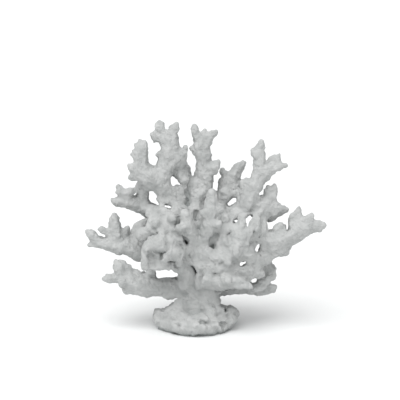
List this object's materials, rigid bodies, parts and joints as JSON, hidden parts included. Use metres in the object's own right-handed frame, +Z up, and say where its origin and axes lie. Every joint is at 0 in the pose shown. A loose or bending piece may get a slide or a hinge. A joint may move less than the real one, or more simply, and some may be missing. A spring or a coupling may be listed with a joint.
{
  "type": "branching coral",
  "caption": "Bleached branching coral colony on its own encrusting foot, cut flat underneath, with stout webbed branches and blunt tips.",
  "frame": {"origin": "middle of the flat cut under the foot", "axes": "+Z up the stem, -Y towards the side meant to be seen, +X to the right of someone looking at that side, along the colony's widest spread"},
  "size_m": [0.1998, 0.1101, 0.176],
  "materials": {
    "coral_skeleton": "matte, finely rough"
  },
  "bodies": {
    "root": {"trunk": "coral_skeleton", "low_left_branch": "coral_skeleton", "mid_left_branch": "coral_skeleton", "front_left_branch": "coral_skeleton", "left_cluster_branch": "coral_skeleton", "upper_left_branch": "coral_skeleton", "left_crown_branch": "coral_skeleton", "top_left_branch": "coral_skeleton", "crown_back_branch": "coral_skeleton", "top_centre_branch": "coral_skeleton", "crown_right_branch": "coral_skeleton", "right_shoulder_branch": "coral_skeleton", "upper_right_branch": "coral_skeleton", "far_right_branch": "coral_skeleton", "right_cluster_branch": "coral_skeleton", "lower_cluster_branch": "coral_skeleton", "front_left_finger": "coral_skeleton", "front_right_finger": "coral_skeleton", "low_front_branch": "coral_skeleton", "low_right_branch": "coral_skeleton", "back_low_branch": "coral_skeleton", "back_left_branch": "coral_skeleton", "back_right_branch": "coral_skeleton", "back_top_branch": "coral_skeleton"}
  },
  "joints": []
}
